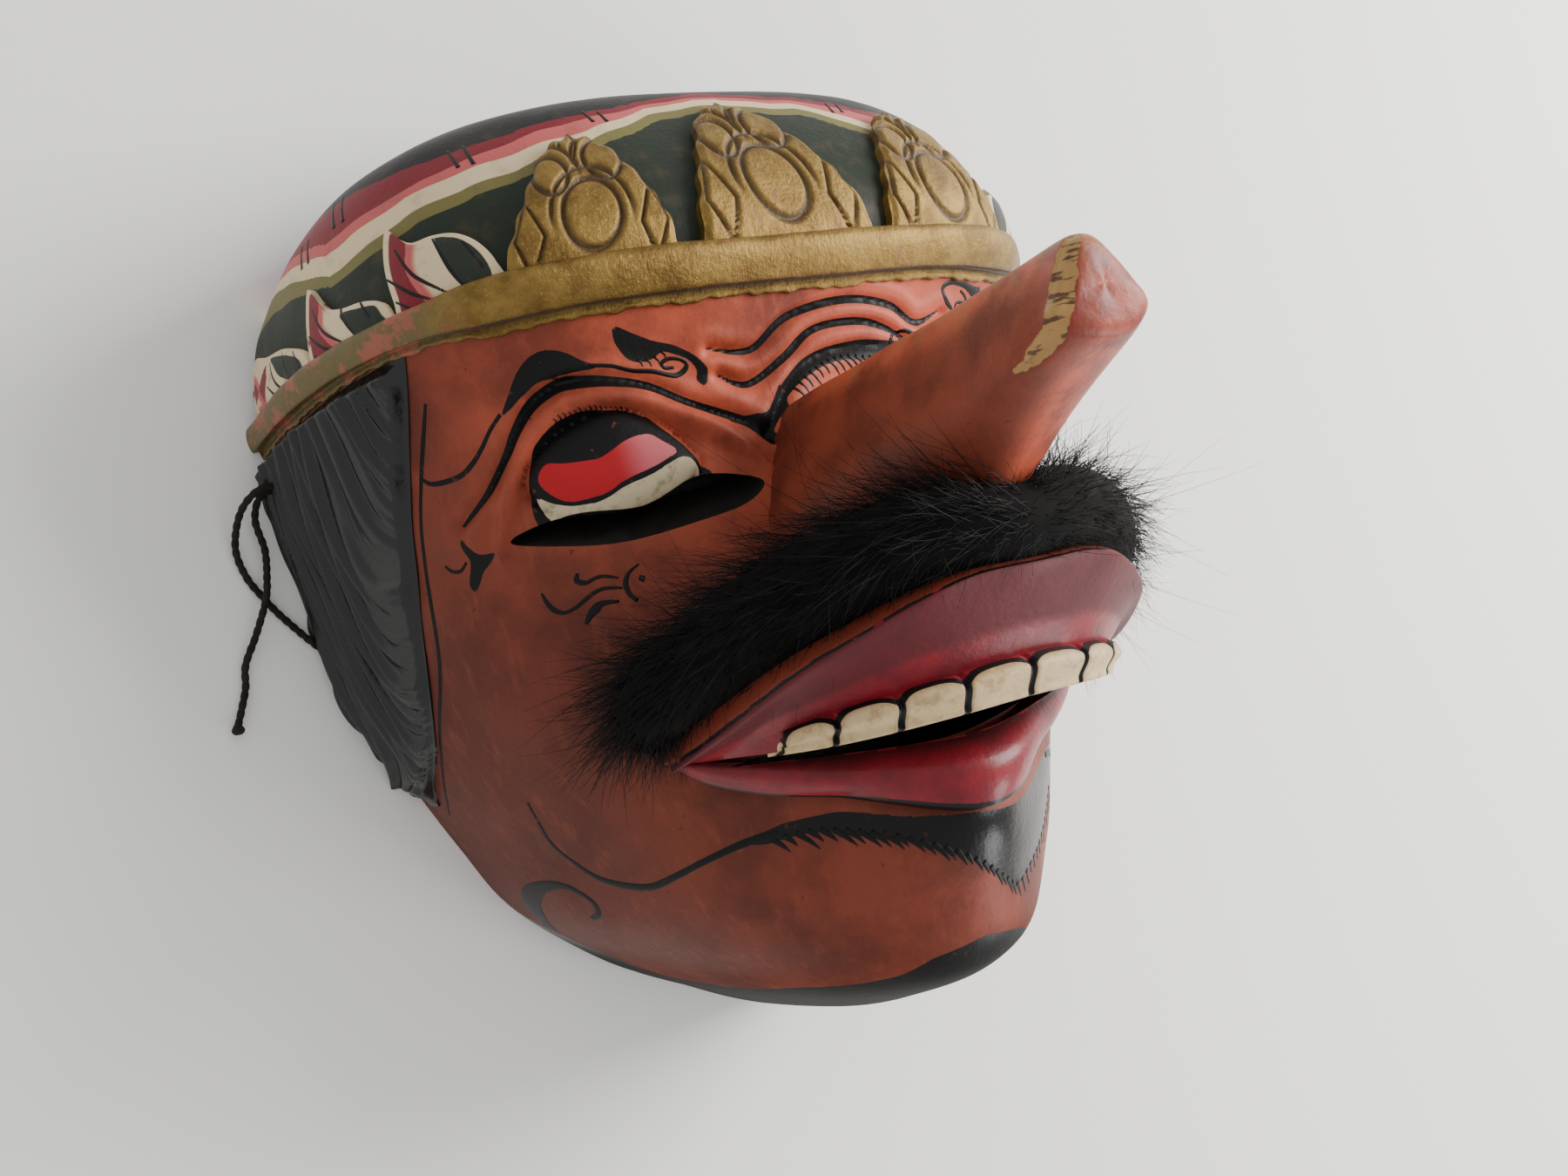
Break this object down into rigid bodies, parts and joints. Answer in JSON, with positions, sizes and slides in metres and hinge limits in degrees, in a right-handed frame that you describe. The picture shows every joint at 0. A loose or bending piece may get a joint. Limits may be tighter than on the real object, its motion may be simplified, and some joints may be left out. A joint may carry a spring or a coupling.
{
  "type": "carved wooden dance mask",
  "caption": "Carved and painted wooden face mask with a very long straight nose, bared upper teeth, a hair moustache and a gilded headband, lying face up.",
  "frame": {"origin": "middle of the mask's footprint on the surface it lies on", "axes": "+X to the viewer's right when facing the mask, +Y towards the crown, +Z out of the face along the nose"},
  "size_m": [0.1824, 0.1874, 0.1515],
  "materials": {
    "painted_wood": "oil paint in terracotta, black, deep red, cream and gold, half glossy and worn",
    "hair": "black animal hair",
    "cord": "twisted black cotton cord"
  },
  "bodies": {
    "root": {"mask": "painted_wood", "moustache": "hair", "head_cord": "cord", "cord_tail": "cord"}
  },
  "joints": []
}
